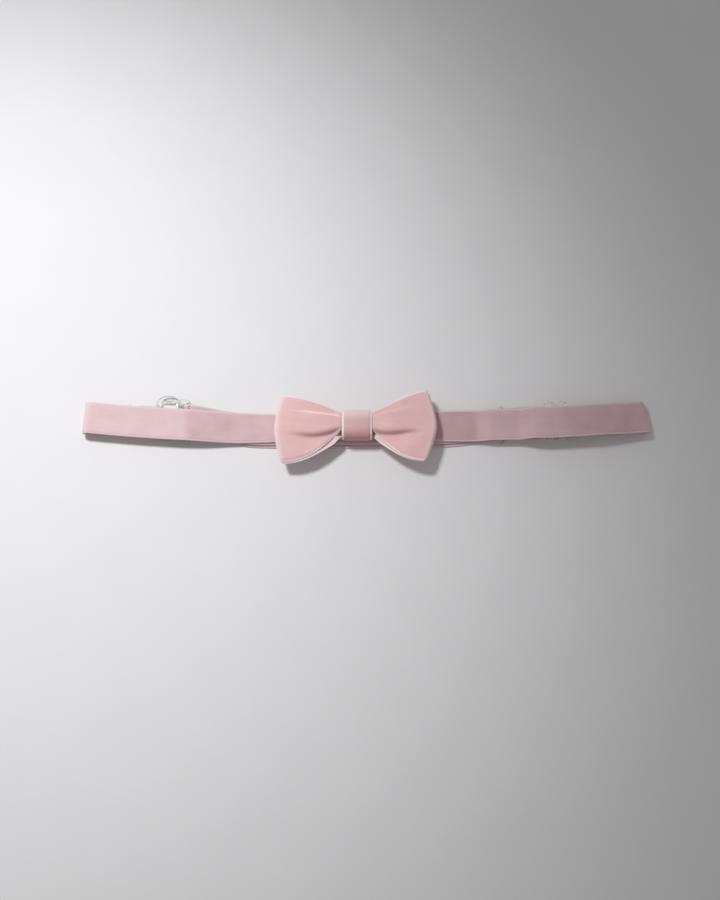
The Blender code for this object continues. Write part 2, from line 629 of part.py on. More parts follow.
# Bow: one ribbon loop, drawn in at the waist, with a box pleat that opens out towards its ends
WAIST_HALF = GATHER_HALF - GATHER_THREAD / 2 - CLEARANCE
MOUTH_HALF = KNOT_OUTER - SEAT
WAIST_PLEAT = 0.25
COLUMNS = 12
WAIST_FRONT_Z = WAIST_HIGH_Z - RIBBON_THICKNESS / 2 - WAIST_PLEAT * PLEAT_DEPTH
WAIST_BACK_Z = WAIST_LOW_Z + RIBBON_THICKNESS / 2
END_RADIUS = BOW_LOOP_DEPTH / 2
LOOPS = {
    1: (BOW_RIGHT_REACH, BOW_RIGHT_DROP, BOW_RIGHT_CUP, BOW_RIGHT_FULLNESS),
    -1: (BOW_LEFT_REACH, BOW_LEFT_DROP, BOW_LEFT_CUP, BOW_LEFT_FULLNESS),
}


def bow_row(side, away, z, pleat, tuck=0.0):
    """Points across the bow ribbon, at a distance from the knot's middle along its mid-line."""
    reach, drop, cup, (low_fullness, high_fullness) = LOOPS[side]
    free = max(away - KNOT_HALF, 0.0)
    share = min(free / (reach - KNOT_HALF - END_RADIUS), 1.0)
    swell = math.sin(math.pi / 2 * share)
    inner = WAIST_HALF + (MOUTH_HALF - WAIST_HALF) * smooth(2 * away / KNOT_HALF - 1)
    curve = BOW_END_CURVE / (reach - KNOT_HALF)
    row = []
    for v in spaced(-1.0, 1.0, COLUMNS + 1):
        fullness = low_fullness + (high_fullness - low_fullness) * (1 + v) / 2
        spread = (1 - fullness) * share + fullness * swell
        half = inner + (BOW_RIBBON_WIDTH / 2 - MOUTH_HALF) * spread
        x = KNOT_X + side * (min(away, KNOT_HALF) + free * (1 - curve * v * v))
        y = KNOT_Y - drop * swell + v * half + tuck * (1 - v) / 2
        wave = math.cos(2 * math.pi * (v - PLEAT_CENTRE) / PLEAT_SPACING)
        row.append((x, y, z + pleat * wave - cup * (share * v) ** 2))
    return row


def pleat_depth(away):
    """Depth of the pleat in the front layer: held flat in the knot, deepest beside it, gone at the end."""
    free = away - KNOT_HALF
    opened = WAIST_PLEAT + (1 - WAIST_PLEAT) * smooth(free / EASE)
    return PLEAT_DEPTH * opened * (1 - smooth((free - EASE / 2) / PLEAT_FADE))


def bow_half(side):
    """One loop of the bow: out along the front, round the end and in along the back."""
    straight = LOOPS[side][0] - END_RADIUS
    front_z = WAIST_BACK_Z + BOW_LOOP_DEPTH
    rows = []
    for away in [KNOT_HALF / 2, KNOT_HALF] + spaced(KNOT_HALF, straight, 9)[1:]:
        lift = smooth((away - KNOT_HALF) / BOW_RISE)
        z = WAIST_FRONT_Z + (front_z - WAIST_FRONT_Z) * lift
        tuck = BOW_TUCK * (1 - smooth((away - KNOT_HALF) / PLEAT_FADE))
        rows.append(bow_row(side, away, z, pleat_depth(away), tuck))
    for x, z in turn(straight, WAIST_BACK_Z + END_RADIUS, END_RADIUS, END_RADIUS, 90, -90, 7)[1:]:
        rows.append(bow_row(side, x, z, 0.0))
    for away in spaced(straight, KNOT_HALF, 5)[1:] + [KNOT_HALF / 2]:
        rows.append(bow_row(side, away, WAIST_BACK_Z, 0.0))
    return rows


right_half = bow_half(1)
left_half = bow_half(-1)
middle_front = bow_row(1, 0.0, WAIST_FRONT_Z, pleat_depth(0.0), BOW_TUCK)
bow_rows = [middle_front] + right_half + left_half[::-1]
cloth("bow_ribbon", bow_rows, BOW_VELVET, closed=True)
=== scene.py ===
import bpy
import math
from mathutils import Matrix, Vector


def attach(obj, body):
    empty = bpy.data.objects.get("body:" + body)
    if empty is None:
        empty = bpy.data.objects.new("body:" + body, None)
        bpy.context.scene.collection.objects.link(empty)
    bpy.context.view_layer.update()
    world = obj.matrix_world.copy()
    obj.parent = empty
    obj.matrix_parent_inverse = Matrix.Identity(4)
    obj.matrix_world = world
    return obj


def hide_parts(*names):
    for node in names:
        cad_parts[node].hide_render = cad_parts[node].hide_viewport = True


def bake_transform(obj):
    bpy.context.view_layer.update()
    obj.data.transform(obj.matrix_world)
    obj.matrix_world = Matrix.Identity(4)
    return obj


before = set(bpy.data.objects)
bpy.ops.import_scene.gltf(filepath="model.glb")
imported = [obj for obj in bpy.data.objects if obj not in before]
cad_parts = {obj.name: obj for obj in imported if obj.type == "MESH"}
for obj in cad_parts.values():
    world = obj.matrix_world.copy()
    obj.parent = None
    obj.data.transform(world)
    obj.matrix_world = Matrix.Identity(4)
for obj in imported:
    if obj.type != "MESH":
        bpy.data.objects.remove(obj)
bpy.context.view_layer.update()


# Front of the band
# One length of 10 mm velvet ribbon makes the whole band: short cut pile on a woven ground, with a bare
# woven selvage down each edge. This run lies over its own folded ends and goes through the bow's knot.
BAND_WIDTH = 0.0100
FRONT_WIDTH = 0.0103
RIBBON_HALF = 0.0003
HALF_LENGTH = 0.0908
FOLD_X = 0.0883
FOLD_LAP = 0.0035
KNOT_X = -0.0029
KNOT_HALF = 0.00485
DRAWN_WIDTH = 0.0072
DRAWN_REACH = 0.045
LEFT_FRONT_Z = 0.0045
RIGHT_FRONT_Z = 0.0044
FRONT_HEIGHTS = (
    (-FOLD_X, LEFT_FRONT_Z), (-0.05825, LEFT_FRONT_Z), (-0.0395, 0.0021), (-0.01275, 0.0021),
    (-0.008375, 0.0030), (0.002575, 0.0030), (0.00695, 0.0021), (0.03565, 0.0021), (0.04065, 0.0036),
    (0.04845, 0.0036), (0.05455, 0.0065), (0.07295, 0.0065), (FOLD_X, RIGHT_FRONT_Z),
)
# The lay of the band on the table: its slope, and how far and from where its two ends lift
LAY_SLOPE = 0.006
LEFT_LIFT, LEFT_LIFT_X = 0.0035, 0.030
RIGHT_LIFT, RIGHT_LIFT_X = 0.0027, 0.040
# How far the front run rides up right of the bow, and where it starts and stops doing so
RIDE_UP = 0.0004
RIDE_START, RIDE_RISE = 0.004, 0.012
RIDE_STOP, RIDE_FALL = 0.046, 0.014
BAND_ROSE = "#cda9ae"
BAND_TIP = "#dfc3c7"
# Colour of pile opened over a fold, also used as painted highlight, and colour of painted shade
BAND_OPENED_AND_HIGHLIGHT = "#f2dcde"
BAND_PAINTED_SHADE = "#8f6a70"
BAND_SELVAGE = "#e9d5d7"

# How thick the ribbon is, as a share of its half thickness, at each distance in from its edge:
# the thin selvage first, then the shoulder where the pile starts
EDGE_PROFILE = (
    (0.0, 0.30), (0.00008, 0.55), (0.00045, 0.60), (0.00055, 0.75), (0.00072, 0.92), (0.00100, 1.0),
)
SELVAGE_COLUMNS = 2


def smooth(share):
    share = min(max(share, 0.0), 1.0)
    return share * share * (3.0 - 2.0 * share)


def level(stations, x):
    """Eased height between the stations (x, height) on each side of x."""
    for (x0, z0), (x1, z1) in zip(stations, stations[1:]):
        if x <= x1:
            return z0 + (z1 - z0) * smooth((x - x0) / (x1 - x0))
    return stations[-1][1]


def spaced(first, last, step):
    count = max(2, round(abs(last - first) / step))
    return [first + (last - first) * i / count for i in range(count + 1)]


def turn(centre_x, centre_z, reach_x, reach_z, first, last):
    """Points (x, z) round part of an ellipse, from one angle in degrees to another."""
    angles = [math.radians(a) for a in spaced(first, last, 9.0)]
    return [(centre_x + reach_x * math.cos(a), centre_z + reach_z * math.sin(a)) for a in angles]


def band_y(x):
    """The laid band lies in a slight bow, a little higher at its ends."""
    left = max(-x - LEFT_LIFT_X, 0.0) / (HALF_LENGTH - LEFT_LIFT_X)
    right = max(x - RIGHT_LIFT_X, 0.0) / (HALF_LENGTH - RIGHT_LIFT_X)
    return LAY_SLOPE * x + LEFT_LIFT * left ** 2 + RIGHT_LIFT * right ** 2


def across(middle, x):
    slope = (middle(x + 0.0005) - middle(x - 0.0005)) / 0.001
    return Vector((-slope, 1.0, 0.0)).normalized()


def columns(width, count, lip=1.0):
    """Places across a ribbon from -1 to 1, close together at its selvages, and the thickness at each."""
    half = width / 2
    low = [(-1.0 + lip * d / half, share) for d, share in EDGE_PROFILE]
    start = low[-1][0]
    inner = [(start - 2 * start * i / count, 1.0) for i in range(1, count)]
    high = [(-v, share) for v, share in reversed(low)]
    return low + inner + high


def strap(path, middle, width_at, places):
    """Rows of points across a strap, one row for each point (x, z) of its path."""
    rows = []
    for x, z in path:
        centre = Vector((x, middle(x), z))
        reach = across(middle, x) * (width_at(x) / 2)
        rows.append([centre + reach * v for v, _ in places])
    return rows


def ribbon(name, rows, places, width, materials, single=False, closed=False, painted_light_and_opened_pile=None, start=0.0, way=1):
    """A ribbon with thickness from rows of points across it. The face is pile; the back is pile too, or
    bare ground where the ribbon is single-faced. Start and way carry the pattern on from the run before.
    Returns the object and the length it was cut to."""
    count, wide = len(rows), len(places)
    near = [(i - 1) % count if closed else max(i - 1, 0) for i in range(count)]
    far = [(i + 1) % count if closed else min(i + 1, count - 1) for i in range(count)]
    face, back = [], []
    for i, row in enumerate(rows):
        for j, (v, share) in enumerate(places):
            along = rows[far[i]][j] - rows[near[i]][j]
            side = row[min(j + 1, wide - 1)] - row[max(j - 1, 0)]
            normal = along.cross(side).normalized()
            if single:
                face.append(row[j] + normal * (RIBBON_HALF * (2 * share - 1)))
                back.append(row[j] - normal * RIBBON_HALF)
            else:
                face.append(row[j] + normal * (RIBBON_HALF * share))
                back.append(row[j] - normal * (RIBBON_HALF * share))
    offset = count * wide
    middle = wide // 2
    run = [0.0]
    for i in range(1, count + (1 if closed else 0)):
        run.append(run[-1] + (rows[i % count][middle] - rows[i - 1][middle]).length)
    faces, kinds, spots = [], [], []

    def add(corners, kind):
        faces.append([side * offset + (i % count) * wide + j for side, i, j in corners])
        kinds.append(kind)
        spots.extend(((start + way * run[i]) / 0.01, places[j][0] * width / 0.02) for _, i, j in corners)

    ground = 2 if single else 0
    for i in range(count if closed else count - 1):
        for j in range(wide - 1):
            lip = j < SELVAGE_COLUMNS or j >= wide - 1 - SELVAGE_COLUMNS
            add([(0, i, j), (0, i + 1, j), (0, i + 1, j + 1), (0, i, j + 1)], 1 if lip else 0)
            add([(1, i, j + 1), (1, i + 1, j + 1), (1, i + 1, j), (1, i, j)], 1 if lip else ground)
        last = wide - 1
        add([(1, i, 0), (1, i + 1, 0), (0, i + 1, 0), (0, i, 0)], 1)
        add([(0, i, last), (0, i + 1, last), (1, i + 1, last), (1, i, last)], 1)
    if not closed:
        end = count - 1
        for j in range(wide - 1):
            add([(0, 0, j), (0, 0, j + 1), (1, 0, j + 1), (1, 0, j)], 1)
            add([(1, end, j), (1, end, j + 1), (0, end, j + 1), (0, end, j)], 1)
    mesh = bpy.data.meshes.new(name)
    mesh.from_pydata(face + back, [], faces)
    mesh.polygons.foreach_set("material_index", kinds)
    uv = mesh.uv_layers.new(name="ribbon")
    uv.data.foreach_set("uv", [value for spot in spots for value in spot])
    # Per point: painted light, paler for highlight and darker for shade, and paler pile opened over folds
    pale = mesh.attributes.new("painted_light_and_opened_pile", "FLOAT", "POINT")
    values = [painted_light_and_opened_pile(i, j) if painted_light_and_opened_pile else 0.0 for i in range(count) for j in range(wide)]
    pale.data.foreach_set("value", values + values)
    for material in materials:
        mesh.materials.append(material)
    mesh.shade_smooth()
    if not closed:
        for edge in mesh.edges:
            first, last = [(corner % offset) // wide for corner in edge.vertices]
            edge.use_edge_sharp = first == last and first in (0, count - 1)
    piece = bpy.data.objects.new(name, mesh)
    bpy.context.scene.collection.objects.link(piece)
    joins = [(i, far[i]) for i in range(count if closed else count - 1)]
    cut = sum((rows[b][j] - rows[a][j]).length for a, b in joins for j in range(wide)) / wide
    return piece, cut


def colour(code):
    """Linear colour from an sRGB hex code."""
    parts = [int(code[i:i + 2], 16) / 255 for i in (1, 3, 5)]
    linear = [c / 12.92 if c <= 0.04045 else ((c + 0.055) / 1.055) ** 2.4 for c in parts]
    return (*linear, 1.0)


def add_node(tree, kind, sockets=None, **settings):
    """A node with its settings, its socket values and the links into it."""
    node = tree.nodes.new(kind)
    for key, value in settings.items():
        setattr(node, key, value)
    for socket, value in (sockets or {}).items():
        if isinstance(value, bpy.types.NodeSocket):
            tree.links.new(value, node.inputs[socket])
        else:
            node.inputs[socket].default_value = value
    return node


def new_material(name):
    material = bpy.data.materials.new(name)
    material.use_nodes = True
    material.node_tree.nodes.clear()
    return material, material.node_tree


def velvet(name, ground, tip, fold, shade_colour, sheen):
    """Cut-pile velvet: its pile leans in soft brushed patches and faint streaks down the ribbon, with a grain
    of tufts in rows.
    An attribute paints light on it: above 0 paler towards the fold colour, for pile opened over a sharp fold
    and for painted highlight, below 0 darker towards the shade colour, for painted shade. The tufts are drawn
    at 0.4 mm."""
    material, tree = new_material(name)
    place = add_node(tree, "ShaderNodeUVMap", uv_map="ribbon").outputs["UV"]
    drawn = add_node(tree, "ShaderNodeMapping", {"Vector": place, "Scale": (0.6, 4.0, 1.0)}).outputs[0]
    streaks = add_node(tree, "ShaderNodeTexNoise", {"Vector": drawn, "Scale": 1.0, "Detail": 3.0})
    patches = add_node(tree, "ShaderNodeTexNoise", {"Vector": place, "Scale": 1.6, "Detail": 3.0})
    tufts = add_node(tree, "ShaderNodeTexNoise", {"Vector": place, "Scale": 25.0, "Detail": 2.0})
    ribs = add_node(tree, "ShaderNodeTexWave", {"Vector": place, "Scale": math.pi / 0.4, "Distortion": 1.5,
                                                "Detail Scale": 2.0}, bands_direction="X")
    lean = add_node(tree, "ShaderNodeMath", {0: streaks.outputs[0], 1: 0.5, 2: patches.outputs[0]},
                    operation="MULTIPLY_ADD")
    rows_lean = add_node(tree, "ShaderNodeMath", {0: ribs.outputs["Fac"], 1: 0.12, 2: lean.outputs[0]},
                         operation="MULTIPLY_ADD")
    grain = add_node(tree, "ShaderNodeMath", {0: tufts.outputs[0], 1: 1.1, 2: rows_lean.outputs[0]},
                     operation="MULTIPLY_ADD")
    tone = add_node(tree, "ShaderNodeMapRange", {0: grain.outputs[0], 1: 0.9, 2: 1.8})
    pile = add_node(tree, "ShaderNodeMix", {0: tone.outputs[0], 6: colour(ground), 7: colour(tip)},
                    data_type="RGBA")
    # This attribute carries painted highlight above 0 and painted shade below 0, with the pile opened over
    # folds
    painted_light_and_opened_pile = add_node(tree, "ShaderNodeAttribute", attribute_name="painted_light_and_opened_pile")
    opened_and_painted_light = add_node(tree, "ShaderNodeMix", {0: painted_light_and_opened_pile.outputs["Fac"], 6: pile.outputs[2], 7: colour(fold)},
                      data_type="RGBA")
    painted_shade_share = add_node(tree, "ShaderNodeMath", {0: painted_light_and_opened_pile.outputs["Fac"], 1: -1.0}, operation="MULTIPLY")
    painted_shade_mix = add_node(tree, "ShaderNodeMix", {0: painted_shade_share.outputs[0], 6: opened_and_painted_light.outputs[2], 7: colour(shade_colour)},
                       data_type="RGBA")
    relief = add_node(tree, "ShaderNodeBump", {"Height": grain.outputs[0], "Strength": 0.35,
                                               "Distance": 0.00015})
    shader = add_node(tree, "ShaderNodeBsdfPrincipled", {
        "Base Color": painted_shade_mix.outputs[2], "Roughness": 0.9, "Specular IOR Level": 0.12,
        "Sheen Weight": sheen, "Sheen Roughness": 0.4, "Sheen Tint": colour(fold),
        "Normal": relief.outputs[0]})
    add_node(tree, "ShaderNodeOutputMaterial", {"Surface": shader.outputs[0]})
    return material


def woven(name, dark, light, pitch):
    """Bare ribbon ground: fine ribs of weft across the ribbon crossed by warp, with a slight silky shine.
    The pitch is in mm."""
    material, tree = new_material(name)
    place = add_node(tree, "ShaderNodeUVMap", uv_map="ribbon").outputs["UV"]
    scale = math.pi / pitch
    weft = add_node(tree, "ShaderNodeTexWave", {"Vector": place, "Scale": scale, "Distortion": 0.6},
                    bands_direction="X")
    warp = add_node(tree, "ShaderNodeTexWave", {"Vector": place, "Scale": scale, "Distortion": 0.6},
                    bands_direction="Y")
    crossed = add_node(tree, "ShaderNodeMath", {0: weft.outputs["Fac"], 1: warp.outputs["Fac"]},
                       operation="MULTIPLY")
    uneven = add_node(tree, "ShaderNodeTexNoise", {"Vector": place, "Scale": 4.0, "Detail": 3.0})
    tone = add_node(tree, "ShaderNodeMath", {0: uneven.outputs[0], 1: 0.6, 2: crossed.outputs[0]},
                    operation="MULTIPLY_ADD")
    cloth = add_node(tree, "ShaderNodeMix", {0: tone.outputs[0], 6: colour(dark), 7: colour(light)},
                     data_type="RGBA")
    relief = add_node(tree, "ShaderNodeBump", {"Height": crossed.outputs[0], "Strength": 0.4,
                                               "Distance": 0.00008})
    shader = add_node(tree, "ShaderNodeBsdfPrincipled", {
        "Base Color": cloth.outputs[2], "Roughness": 0.6, "Specular IOR Level": 0.35,
        "Sheen Weight": 0.15, "Sheen Roughness": 0.5, "Normal": relief.outputs[0]})
    add_node(tree, "ShaderNodeOutputMaterial", {"Surface": shader.outputs[0]})
    return material


def front_width(x):
    """The knot draws the ribbon in a little, further on its left."""
    away = max(abs(x - KNOT_X) - KNOT_HALF, 0.0)
    reach = DRAWN_REACH if x < KNOT_X else DRAWN_REACH * 0.6
    return DRAWN_WIDTH + (FRONT_WIDTH - DRAWN_WIDTH) * math.sin(math.pi / 2 * min(away / reach, 1.0))


def front_y(x):
    """The front run, which rides up a little right of the bow."""
    ride = smooth((x - RIDE_START) / RIDE_RISE) * (1.0 - smooth((x - RIDE_STOP) / RIDE_FALL))
    return band_y(x) + RIDE_UP * ride


def full_width(x):
    return BAND_WIDTH


band_pile = velvet("rose_velvet_pile", BAND_ROSE, BAND_TIP, BAND_OPENED_AND_HIGHLIGHT, BAND_PAINTED_SHADE, 0.25)
band_edge = woven("rose_selvage", "#d3b4b7", BAND_SELVAGE, 0.45)
BAND_CLOTH = (band_pile, band_edge)
band_places = columns(BAND_WIDTH, 14)
FRONT_END = FOLD_X - FOLD_LAP
front_path = [(x, level(FRONT_HEIGHTS, x)) for x in spaced(-FRONT_END, FRONT_END, 0.0006)]
front_rows = strap(front_path, front_y, front_width, band_places)
# Painted light along the front run: painted highlight left of the place where the hook presses the band down,
# and painted shade in the hollow between the bow and the tail and towards the right end
BAND_PAINTED_LIGHT = ((-0.0590, 0.28), (-0.0560, 0.0), (0.0200, -0.05), (0.0275, -0.24), (0.0335, -0.24), (0.0370, 0.04),
       (0.0425, 0.0), (0.0600, 0.0), (0.0680, -0.10), (FOLD_X, -0.06))
front_painted_light = [level(BAND_PAINTED_LIGHT, max(x, BAND_PAINTED_LIGHT[0][0])) for x, _ in front_path]
front, front_length = ribbon("front_ribbon", front_rows, band_places, BAND_WIDTH, BAND_CLOTH,
                             painted_light_and_opened_pile=lambda i, j: front_painted_light[i])
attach(front, "front")
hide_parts("front_band", "front_band_right", "front_band_rise")


# Folds at the two ends of the band
# The same ribbon, turned down and back under itself at each end of the laid band. It is only creased by
# hand, so each end is a soft round turn, paler where the pile opens over it.
FOLD_GAP = 0.0003
LEFT_BULGE = 0.0021
RIGHT_BULGE = 0.0019
FOLD_SHIFT = 0.0005
FLAP_Z = 0.0003
RING_X = -0.067398
SLIDER_X = 0.0612
# How far the ends below lie from the middle of the front run: at the ring and its tab, and at the slider
RING_OFFSET = 0.0020
TAB_OFFSET = 0.0009
TAB_LEAD = 0.008
SLIDER_OFFSET = 0.0010
LEFT_OFFSETS = ((-FOLD_X, FOLD_SHIFT), (RING_X - TAB_LEAD, TAB_OFFSET), (RING_X, RING_OFFSET))
RIGHT_OFFSETS = ((SLIDER_X, SLIDER_OFFSET), (FOLD_X, FOLD_SHIFT))


def left_flap_y(x):
    return band_y(x) + level(LEFT_OFFSETS, x)


def right_flap_y(x):
    return band_y(x) + level(RIGHT_OFFSETS, x)


def fold(name, side, front_z, bulge, skew, flap_y):
    """The end of the front run, the turn, and the start of the run below it."""
    upper = [(side * x, level(FRONT_HEIGHTS, side * x)) for x in spaced(FRONT_END, FOLD_X, 0.0005)]
    rows = strap(upper, band_y, front_width, band_places)
    reach = across(band_y, side * FOLD_X) * (FRONT_WIDTH / 2)
    for angle in [math.radians(a) for a in spaced(90.0, -90.0, 7.5)]:
        row = []
        for v, _ in band_places:
            x = side * (FOLD_X + FOLD_GAP + (bulge - skew * v) * math.cos(angle))
            y = band_y(side * FOLD_X) + FOLD_SHIFT * (1 - math.sin(angle)) / 2
            z = (front_z + FLAP_Z) / 2 + (front_z - FLAP_Z) / 2 * math.sin(angle)
            row.append(Vector((x, y, z)) + reach * v)
        rows.append(row)
    lower = [(side * x, FLAP_Z) for x in spaced(FOLD_X, FRONT_END, 0.0005)]
    rows += strap(lower, flap_y, full_width, band_places)
    first = len(upper)
    turned = len(rows) - first - len(lower)

    def opened_and_painted_light(i, j):
        share = (i - first) / (turned - 1)
        # The painted light at the band's end carries on round the turn, and the pile opens paler over it
        laid = BAND_PAINTED_LIGHT[0][1] if side < 0 else BAND_PAINTED_LIGHT[-1][1]
        return laid + 0.5 * math.exp(-((share - 0.35) / 0.22) ** 2)

    piece, length = ribbon(name, rows, band_places, BAND_WIDTH, BAND_CLOTH, painted_light_and_opened_pile=opened_and_painted_light,
                           start=front_length if side > 0 else 0.0, way=side)
    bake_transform(piece)
    return piece, length


left_fold, left_turned = fold("left_fold_ribbon", -1, LEFT_FRONT_Z, LEFT_BULGE, -0.0002, left_flap_y)
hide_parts("left_fold")
right_fold, right_turned = fold("right_fold_ribbon", 1, RIGHT_FRONT_Z, RIGHT_BULGE, 0.0005, right_flap_y)
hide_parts("right_fold")


# Left flap
# The band's left end, below the front run. It narrows where it goes up through the ring and round the
# ring's bar, and its cut end is turned back over itself and sewn down.
RING_WIRE = 0.0015
RING_BAR_Z = 0.00165
RING_TAB = 0.009
RING_TURN = 0.00135
RING_RIBBON = 0.0080
EASE = 0.005
PLY_Z = 0.0012
TAB_HEIGHTS = ((RING_X - RING_TAB + EASE / 2, PLY_Z), (RING_X - RING_WIRE, 0.0030))


def flap_width(x):
    share = smooth((x - (RING_X - EASE)) / (EASE - RING_WIRE))
    return BAND_WIDTH + (RING_RIBBON - BAND_WIDTH) * share


flap_path = [(x, FLAP_Z) for x in spaced(-FRONT_END, RING_X - RING_WIRE, 0.0006)]
flap_path += turn(RING_X, RING_BAR_Z, RING_TURN, RING_TURN, -90.0, 90.0)
flap_path += [(x, level(TAB_HEIGHTS, x)) for x in spaced(RING_X - RING_WIRE, RING_X - RING_TAB, 0.0005)]
flap_rows = strap(flap_path, left_flap_y, flap_width, band_places)
left_flap, flap_length = ribbon("left_flap_ribbon", flap_rows, band_places, BAND_WIDTH, BAND_CLOTH,
                                start=-left_turned, way=-1)
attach(left_flap, "left_end")
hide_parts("left_flap")


# Right flap, slider weave and adjusting loop
# The band's right end, below the front run. It goes over the slider's two outer bars, on to the hook,
# round the hook's bar, and back along the table to the slider, where it turns round the middle bar.
SLIDER_BAR = 0.0011
SLIDER_Z = 0.0034
SLIDER_TOP = 0.0041
SLIDER_LOW = 0.0027
WEAVE_LOW_Z = 0.0021
WEAVE_END = 0.00465
WEAVE_X = 0.00205
WEAVE_TURN = 0.0006
TAIL_X = 0.00115
TAIL_END = 0.04465
TAIL_TACK_X = 0.04965
# How far the tail swings past the run above it, and how far from the slider and its own end that takes
TAIL_SWING = 0.0008
TAIL_TURN = 0.007
TAIL_BACK_X = 0.0510
TAIL_BACK = 0.006
TAIL_RETURN = 0.9
LOOP_END = SLIDER_X - WEAVE_END
FLAP_END = SLIDER_X + WEAVE_END
HOOK_X = -0.0575
HOOK_BAR = 0.0015
HOOK_BAR_Z = 0.0015
LOOP_HEIGHTS = (
    (HOOK_X, 0.0027), (HOOK_X + HOOK_BAR, 0.0027), (HOOK_X + 0.0085, PLY_Z), (TAIL_END - EASE, PLY_Z),
    (TAIL_END - 0.0003, 0.0027), (TAIL_TACK_X + EASE / 2, 0.0027), (LOOP_END, WEAVE_LOW_Z),
)
FLAP_HEIGHTS = ((FLAP_END, WEAVE_LOW_Z), (FLAP_END + 2 * EASE, FLAP_Z), (FOLD_X, FLAP_Z))
HOOK_OFFSET = 0.0021
LOOP_OFFSET = -0.0004
LOOP_OFFSETS = ((HOOK_X, HOOK_OFFSET), (-0.034, LOOP_OFFSET), (0.022, LOOP_OFFSET), (TAIL_END, SLIDER_OFFSET))
LOOP_SAG = 0.0040
SLOT_DRAW = 0.0011
SLOT_EASE = 0.0022


def loop_y(x):
    return band_y(x) + level(LOOP_OFFSETS, x)


def loop_lower_y(x):
    """The lower run, which lies slack and sags towards the near edge."""
    share = (x - HOOK_X) / (SLIDER_X - HOOK_X)
    return loop_y(x) - LOOP_SAG * max(share * (1 - share), 0.0)


def tail_y(x):
    """The tail swings a little past the run above it, and back at its cut end."""
    back = 1.0 - TAIL_RETURN * smooth((TAIL_BACK_X - x) / TAIL_BACK)
    return loop_y(x) + TAIL_SWING * smooth((SLIDER_X - x) / TAIL_TURN) * back


def weave_width(x):
    """The slider's slots draw the ribbon in a little."""
    return BAND_WIDTH - SLOT_DRAW * smooth((WEAVE_END - abs(x - SLIDER_X)) / SLOT_EASE)


right_path = [(x, level(FLAP_HEIGHTS, x)) for x in spaced(FRONT_END, FLAP_END, 0.0006)]
right_rows = strap(right_path, right_flap_y, full_width, band_places)
right_flap, right_length = ribbon("right_flap_ribbon", right_rows, band_places, BAND_WIDTH, BAND_CLOTH,
                                  start=front_length + right_turned)
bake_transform(right_flap)
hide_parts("right_flap")

corner = WEAVE_X + WEAVE_TURN
weave_path = [(FLAP_END, WEAVE_LOW_Z)]
weave_path += turn(SLIDER_X + corner, SLIDER_LOW, WEAVE_TURN, WEAVE_TURN, -90.0, -180.0)
weave_path += turn(SLIDER_X, SLIDER_TOP, WEAVE_X, 0.0015, 0.0, 180.0)
weave_path += turn(SLIDER_X - corner, SLIDER_LOW, WEAVE_TURN, WEAVE_TURN, 0.0, -90.0)
weave_path += [(LOOP_END, WEAVE_LOW_Z)]
weave_rows = strap(weave_path, right_flap_y, weave_width, band_places)
weave, weave_length = ribbon("slider_weave_ribbon", weave_rows, band_places, BAND_WIDTH, BAND_CLOTH)
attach(weave, "slider")
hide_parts("slider_weave")

loop_path = [(x, level(LOOP_HEIGHTS, x)) for x in spaced(LOOP_END, HOOK_X, 0.0007)]
upper_count = len(loop_path)
loop_path += turn(HOOK_X, HOOK_BAR_Z, HOOK_BAR / 2 + 0.0006, 0.0012, 90.0, 270.0)
loop_path += [(x, FLAP_Z) for x in spaced(HOOK_X, LOOP_END, 0.0007)]
loop_rows = strap(loop_path[:upper_count], loop_y, full_width, band_places)
loop_rows += strap(loop_path[upper_count:], loop_lower_y, full_width, band_places)
loop, loop_length = ribbon("adjusting_loop_ribbon", loop_rows, band_places, BAND_WIDTH, BAND_CLOTH)
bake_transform(loop)
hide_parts("adjuster_loop")

tail_path = [(LOOP_END, FLAP_Z), (SLIDER_X - 0.0025, FLAP_Z)]
tail_path += turn(SLIDER_X - SLIDER_BAR / 2, SLIDER_Z, TAIL_X + SLIDER_BAR / 2, SLIDER_Z - FLAP_Z,
                  -84.0, 0.0)
tail_path += turn(SLIDER_X, SLIDER_TOP, TAIL_X, 0.0006, 0.0, 180.0)
tail_path += turn(SLIDER_X - TAIL_X - WEAVE_TURN, PLY_Z + WEAVE_TURN, WEAVE_TURN, WEAVE_TURN, 0.0, -90.0)
folded_count = len(tail_path)
tail_path += [(x, PLY_Z) for x in spaced(SLIDER_X - TAIL_X - 2 * WEAVE_TURN, TAIL_END, 0.0005)]
tail_rows = strap(tail_path[:folded_count], loop_y, full_width, band_places)
tail_rows += strap(tail_path[folded_count:], tail_y, full_width, band_places)
tail, tail_length = ribbon("slider_tail_ribbon", tail_rows, band_places, BAND_WIDTH, BAND_CLOTH)
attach(tail, "slider")
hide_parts("slider_tail")


# Ring, hook and slider
# Clear acrylic mouldings, flat with softly rounded edges and a polished surface: a ring, a flat hook
# whose tongue drops into it, and a figure-of-eight slider with a middle bar.
def clear_acrylic(name):
    """Clear acrylic: bright refraction and glints, with faint handling marks in its polish."""
    material, tree = new_material(name)
    place = add_node(tree, "ShaderNodeTexCoord").outputs["Object"]
    marks = add_node(tree, "ShaderNodeTexNoise", {"Vector": place, "Scale": 900.0, "Detail": 4.0})
    polish = add_node(tree, "ShaderNodeMapRange", {0: marks.outputs[0], 1: 0.35, 2: 0.75, 3: 0.02, 4: 0.10})
    tint = add_node(tree, "ShaderNodeMix", {0: marks.outputs[0], 6: colour("#f4f4f5"), 7: colour("#fdfbfb")},
                    data_type="RGBA")
    shader = add_node(tree, "ShaderNodeBsdfPrincipled", {
        "Base Color": tint.outputs[2], "Roughness": polish.outputs[0], "IOR": 1.49,
        "Transmission Weight": 1.0})
    add_node(tree, "ShaderNodeOutputMaterial", {"Surface": shader.outputs[0]})
    return material


acrylic = clear_acrylic("clear_acrylic")
for node in ("ring", "hook", "slider"):
    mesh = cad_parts[node].data
    mesh.materials.clear()
    mesh.materials.append(acrylic)


